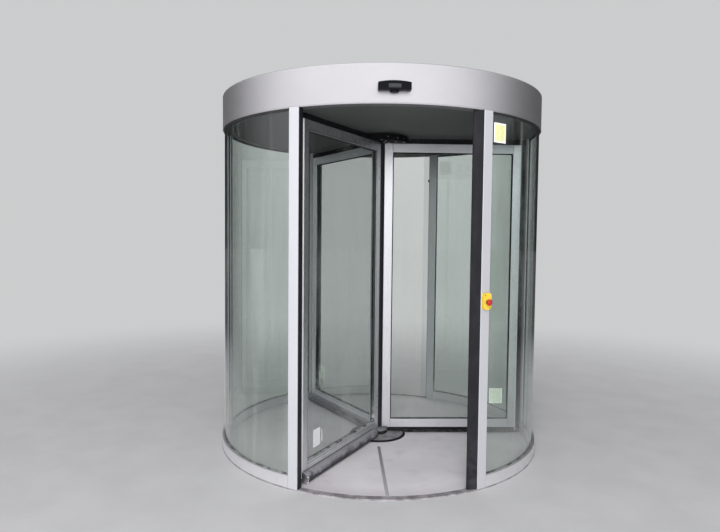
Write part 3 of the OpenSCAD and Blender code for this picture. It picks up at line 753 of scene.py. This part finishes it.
def bristles(solid, origin, along, out, across, length, reach):
    """Two staggered rows of tapered bristle tufts between two heights of a brush."""
    step = TUFT_STEP
    root_w, tip_w = step * 0.46, step * 0.30
    for row in (-1, 1):
        for i in range(int(length / step)):
            at = origin + along * (step * (i + (0.5 if row < 0 else 0.0)) + step / 2) + across * (row * 0.0016)
            lean = along * random.uniform(-0.0012, 0.0012) + across * random.uniform(-0.0006, 0.0006)
            tip = at + out * (reach - random.uniform(0.0, 0.0022)) + lean
            ring = []
            for centre, w, t in ((at, root_w, TUFT_T), (tip, tip_w, TUFT_T * 0.7)):
                ring.append([centre - along * w - across * t, centre + along * w - across * t,
                             centre + along * w + across * t, centre - along * w + across * t])
            base = len(solid.verts)
            solid.verts += [tuple(v) for r in ring for v in r]
            solid.faces += [tuple(base + j for j in face) for face in
                            ((0, 1, 5, 4), (1, 2, 6, 5), (2, 3, 7, 6), (3, 0, 4, 7), (4, 5, 6, 7))]


def bumper_outline():
    """Section of a bumper, its back at the origin, as in the CAD model."""
    steps = 14
    points = [(0.0, 0.0)]
    for i in range(7):
        a = radians(-90 + 15 * i)
        points.append((BUMPER_D - BUMPER_FOOT_R + BUMPER_FOOT_R * cos(a), BUMPER_FOOT_R + BUMPER_FOOT_R * sin(a)))
    for i in range(steps + 1):
        a = radians(90 * i / steps)
        points.append((BUMPER_D * cos(a), BUMPER_H - BUMPER_D + BUMPER_D * sin(a)))
    return points


for wing, angle in WINGS.items():
    u = Vector((cos(radians(angle)), sin(radians(angle)), 0))
    v = Vector((-u.y, u.x, 0))
    up = Vector((0, 0, 1))
    seal = Solid()
    frame_strip(seal, angle, -1)
    piece(f"wing_{wing}_gasket", seal, GASKET, "rotor")
    seal = Solid()
    frame_strip(seal, angle, 1)
    piece(f"wing_{wing}_bead", seal, BEAD, "rotor")

    lines = Solid()
    for side in (-1, 1):
        y = side * (WING_T / 2)
        for x in (WING_START + STILE, REACH - STILE):
            for z0, z1 in ((WING_LOW + 0.004, WING_LOW + LOW_RAIL), (WING_TOP - TOP_RAIL, WING_TOP - 0.004)):
                lines.block((x - LINE_W, y - LINE_T, z0), (x + LINE_W, y + LINE_T, z1), turn(angle))
    x0, x1 = WING_START + STILE - 0.009, REACH - STILE + 0.009
    z0, z1 = WING_LOW + LOW_RAIL - 0.014, WING_TOP - TOP_RAIL + 0.007
    face = WING_T / 2
    for low, high in (((x0, z0), (x1, z0 + 0.0022)), ((x0, z1), (x1, z1 + JOINT_W)),
                      ((x0, z0), (x0 + JOINT_W, z1)), ((x1 - 0.0014, z0), (x1, z1))):
        lines.block((low[0], face - LINE_T, low[1]), (high[0], face + LINE_T, high[1]), turn(angle))
    piece(f"wing_{wing}_joints", lines, GASKET, "rotor")

    brush = Solid()
    low_step = COVER_R + BRUSH_GAP
    holder = BRUSH_T / 2 + 0.0008
    low_reach = WING_LOW - FLOOR - BRUSH_GAP
    short_reach = WING_LOW - COVER_TOP - BRUSH_GAP
    bristles(brush, u * REACH + up * WING_LOW, up, u, v, WING_TOP - WING_LOW, BRUSH_TIP - REACH)
    bristles(brush, u * (DISC_R + 0.001) + up * WING_TOP, u, up, v, BRUSH_TIP - DISC_R - 0.001,
             HEAD_Z - BRUSH_GAP - WING_TOP)
    bristles(brush, u * (HUB_R + 0.001) + up * WING_LOW, u, -up, v, low_step - HUB_R - 0.001, short_reach)
    bristles(brush, u * low_step + up * WING_LOW, u, -up, v, BRUSH_TIP - low_step, low_reach)
    brush.block((REACH, -0.0032, WING_LOW), (REACH + 0.006, 0.0032, WING_TOP), turn(angle))
    brush.block((DISC_R, -holder, WING_TOP), (REACH, holder, WING_TOP + 0.007), turn(angle))
    brush.block((HUB_R + 0.001, -holder, WING_LOW - 0.007), (REACH, holder, WING_LOW), turn(angle))
    piece(f"wing_{wing}_bristles", brush, BRISTLE, "rotor", replaces=(f"wing_{wing}_brushes",))

    outline = [(WING_T / 2 + px, BUMPER_TOP - BUMPER_H + pz) for px, pz in bumper_outline()]
    cap = Solid().rings([[(x, y, z) for y, z in outline] for x in (REACH - 0.0002, REACH + 0.0014)], turn(angle))
    piece(f"wing_{wing}_bumper_cap", cap, CAP_RUBBER, "rotor", bevel=0.0005)
    # Three screw heads at the bumper's end, in the near-white painted glint
    studs = Solid()
    for z, r in ((0.0515, 0.0032), (0.0345, 0.0036), (0.0205, 0.0058)):
        studs.lathe([(0, -0.004), (r, -0.004), (r, 0.0004), (r * 0.7, 0.0015), (0, 0.0019)],
                    turn(angle, REACH - 0.007, WING_T / 2 + BUMPER_D, z) @ TO_Y, 20)
    piece(f"wing_{wing}_bumper_studs", studs, SCREW_PAINTED_GLINT, "rotor")

    # Rounded outer edges of the stile, in the near-white painted highlight
    strip = Solid()
    for side in (-1, 1):
        edge = [(REACH - 0.006 + EDGE_R * cos(radians(15 * k)),
                 side * (WING_T / 2 - 0.006 + EDGE_R * sin(radians(15 * k)))) for k in range(7)]
        edge = [(REACH + 0.0012, side * 0.0036), *edge, (REACH - 0.006, side * 0.0036)]
        strip.rings([[(x, y, z) for x, y in edge] for z in (FOOT_Z, WING_TOP - 0.001)], turn(angle))
    piece(f"wing_{wing}_edge_strips", strip, EDGE_PAINTED_HIGHLIGHT, "rotor", bevel=0.0003)
    # A dark rubber strip along the bumper's top edge: a painted shadow line where the bumper meets the rail
    joint = Solid().block((0.12, WING_T / 2 - 0.0002, BUMPER_TOP - 0.001),
                          (REACH - 0.008, WING_T / 2 + 0.0030, BUMPER_TOP + 0.0016), turn(angle))
    piece(f"wing_{wing}_bumper_painted_shadow", joint, CAP_RUBBER, "rotor")

    carrier = Solid().block((HUB_R + 0.002, -0.0078, 0.038), (REACH - 0.0005, 0.0078, WING_LOW), turn(angle))
    carrier.block((HUB_R + 0.002, -0.0088, 0.0374), (REACH - 0.0005, 0.0088, 0.0386), turn(angle))
    piece(f"wing_{wing}_carrier", carrier, BLACK, "rotor")
    lips = Solid()
    for n0, n1 in ((0.0070, 0.0192), (-0.0192, -0.0070)):
        lips.block((REACH - 0.030, n0, FOOT_Z), (REACH - 0.0005, n1, WING_LOW), turn(angle), 0.0012)
    piece(f"wing_{wing}_foot", lips, DARK, "rotor", bevel=0.0004)

    fixings = Solid()
    for x, z in ((0.202, WING_TOP - 0.020), (0.298, WING_TOP - 0.020), (0.052, 1.992), (0.052, 1.906),
                 (0.052, 0.30), (0.052, 0.214)):
        cap_screw(fixings, turn(angle, x, WING_T / 2, z) @ TO_Y, 0.0042, 0.0016, 20)
    piece(f"wing_{wing}_screws", fixings, DARK, "rotor")

bolts = Solid()
for angle in (60, 180, 300):
    for r, offset in ((0.184, -31), (0.184, 31), (0.08, -15), (0.08, 15), (0.14, -18), (0.14, 18)):
        hex_bolt(bolts, turn(angle + offset, r, 0, WING_TOP) @ DOWN, 0.006, 0.005)
    for offset, z in ((-19, 2.182), (2, 2.178), (19, 2.182)):
        cap_screw(bolts, turn(angle + offset, DISC_R - 0.0005, 0, z) @ TO_X, 0.0045, 0.002)
piece("disc_bolts", bolts, SCREW, "rotor")

hub = Solid().arc([(0.033, WING_LOW - 0.0002), (HUB_R - 0.004, WING_LOW - 0.0163),
                   (HUB_R - 0.0008, WING_LOW - 0.0163), (HUB_R + 0.0005, WING_LOW - 0.0150),
                   (HUB_R + 0.0005, WING_LOW + 0.0050), (HUB_R - 0.002, WING_LOW + 0.0065),
                   (0.033, WING_LOW + 0.0065)], 0, 360, 90)
piece("hub_band", hub, HUB_PLATE, "rotor")

# ---- Plain stickers on the glass ----

def wall_label(name, angle0, angle1, z0, z1, color, edge, border):
    """A bare sticker on the outside of the curved glass."""
    r = GLASS_OUT
    solid = Solid().arc(band(r, r + STICKER_T, z0, z1), angle0, angle1, 6)
    mid = radians((angle0 + angle1) / 2)
    centre = (r * cos(mid), r * sin(mid), (z0 + z1) / 2)
    half = r * radians(angle1 - angle0) / 2
    look = label_material(name, color, edge, centre, half - border, (z1 - z0) / 2 - border, (-sin(mid), cos(mid), 0))
    piece(name, solid, look, "drum")


def wing_label(name, wing, x0, x1, z0, z1, side, color, edge, border):
    """A bare sticker on one face of a wing's glass."""
    angle = WINGS[wing]
    y = side * WING_GLASS_T / 2
    low, high = sorted((y, y + side * STICKER_T))
    solid = Solid().block((x0, low, z0), (x1, high, z1), turn(angle))
    centre = turn(angle) @ Vector(((x0 + x1) / 2, y, (z0 + z1) / 2))
    along = (cos(radians(angle)), sin(radians(angle)), 0)
    look = label_material(name, color, edge, centre, (x1 - x0) / 2 - border, (z1 - z0) / 2 - border, along)
    piece(name, solid, look, "rotor")


wall_label("plain_label_high", -57.6, -52.2, 2.036, 2.150, (0.80, 0.80, 0.40), (0.92, 0.92, 0.88), 0.010)
wing_label("plain_label_wing_a", "a", 0.838, 0.940, 0.236, 0.350, -1, (0.78, 0.88, 0.72), (0.93, 0.95, 0.89), 0.009)
wing_label("plain_label_wing_c", "c", 0.817, 0.898, 0.176, 0.286, 1, (0.76, 0.76, 0.77), (0.70, 0.70, 0.71), 0.003)
wing_label("plain_label_wing_c_edge", "c", 0.789, 0.805, 0.190, 0.264, 1, (0.60, 0.60, 0.61), (0.60, 0.60, 0.61),
           0.003)
wing_label("plain_label_wing_b", "b", 0.865, 0.945, 0.165, 0.290, -1, (0.72, 0.72, 0.70), (0.66, 0.66, 0.64), 0.004)

# ---- Floor, lights and camera ----

def stage_floor():
    """Pale studio floor that keeps the shadow near the door and fades into the backdrop further out."""
    mesh = bpy.data.meshes.new("stage_floor")
    work = bmesh.new()
    bmesh.ops.create_circle(work, cap_ends=True, radius=60.0, segments=96)
    work.to_mesh(mesh)
    work.free()
    n = Look("stage_floor")
    speck = n.noise(3.0, 5.0)
    n.set(Base_Color=n.mix(n.span(speck, 0.3, 0.7), (0.61, 0.605, 0.61), (0.65, 0.645, 0.65)), Roughness=0.85,
          Specular_IOR_Level=0.15)
    x, y, _ = n.axes()
    # Further out the floor glows: evenly as the backdrop where it is seen, and as painted light for the object,
    # bright on the street side and dim behind
    front = n.span(n.math("ADD", y, n.math("MULTIPLY", x, 0.3)), 0.8, -3.5)
    glow = n.new("ShaderNodeEmission")
    n.put(glow.inputs["Color"], n.mix(n.seen(), n.mix(front, (0.08, 0.08, 0.083), (0.78, 0.775, 0.78)), BACKDROP))
    n.blend_with(glow, n.span(n.radius(), 2.0, 6.5))
    mesh.materials.append(n.material)
    add_object("stage_floor", mesh)


stage_floor()


def studio_world():
    """Even backdrop for the eye and through glass, and a bright street side for light and reflections."""
    world = bpy.data.worlds.new("studio")
    bpy.context.scene.world = world
    n = Nodes(world, "Generated")
    x, y, z = n.axes()
    toward = n.math("ADD", n.math("MULTIPLY", y, -0.98), n.math("MULTIPLY", x, -0.17))
    front = n.math("MULTIPLY", n.span(toward, -0.47, 0.82), n.span(z, 0.45, 0.95, 1.0, 0.5))
    front = n.math("MULTIPLY", front, n.span(z, 0.0, 0.14, 0.65, 1.0))
    street = n.noise(4.5, 3.0, (1, 1, 0.25), roughness=0.5)
    varied = n.math("MULTIPLY", front, n.math("ADD", n.math("MULTIPLY", street, 0.4), 0.8))
    mirrored = n.mix(varied, (0.024, 0.026, 0.026), (1.44, 1.45, 1.49))
    light = n.mix(front, (0.042, 0.043, 0.046), (1.12, 1.13, 1.16))
    straight = n.math("LESS_THAN", n.new("ShaderNodeLightPath").outputs["Diffuse Depth"], 0.5)
    background = n.tree.nodes["Background"]
    n.put(background.inputs["Color"], n.mix(n.seen(), n.mix(straight, light, mirrored), BACKDROP))
    background.inputs["Strength"].default_value = 1.0


studio_world()


def soft_light(name, place, aim, size, energy):
    """A soft area lamp that neither the camera, nor glass, nor gloss shows."""
    lamp = bpy.data.lights.new(name, "AREA")
    lamp.shape = "RECTANGLE"
    lamp.size, lamp.size_y = size
    lamp.energy = energy
    obj = add_object(name, lamp)
    obj.location = place
    obj.rotation_euler = (Vector(aim) - Vector(place)).to_track_quat("-Z", "Y").to_euler()
    obj.visible_camera = False
    obj.visible_transmission = False
    obj.visible_glossy = False


soft_light("key", (-1.5, -8.0, 1.8), (0, 0, 0.9), (3.4, 3.4), 440)
soft_light("sky", (-0.6, -6.4, 5.2), (0, -0.5, 0), (3.6, 2.6), 135)
soft_light("back", (0.8, 5.2, 3.8), (0, 0, 1.2), (4.0, 2.4), 44)
soft_light("top", (0.0, 0.8, 6.0), (0, 0, 0), (4.5, 4.0), 60)

LENS_MM, SENSOR_MM = 29.7186, 36.0
PITCH, ROLL, YAW = radians(2.922), radians(0.562), radians(1.812)
eye = Vector((-0.2806, -4.3913, 1.4866))
forward = Vector((sin(YAW) * cos(PITCH), cos(YAW) * cos(PITCH), -sin(PITCH)))
right = Vector((cos(YAW), -sin(YAW), 0.0))
above = right.cross(forward)
cam_x = right * cos(ROLL) + above * sin(ROLL)
cam_y = above * cos(ROLL) - right * sin(ROLL)
lens = bpy.data.cameras.new("camera")
lens.lens, lens.sensor_width = LENS_MM, SENSOR_MM
lens.clip_start, lens.clip_end = 0.05, 200.0
camera = add_object("camera", lens)
camera.matrix_world = Matrix.Translation(eye) @ Matrix((cam_x, cam_y, -forward)).transposed().to_4x4()
bpy.context.scene.camera = camera
bpy.context.scene.view_settings.view_transform = "Standard"
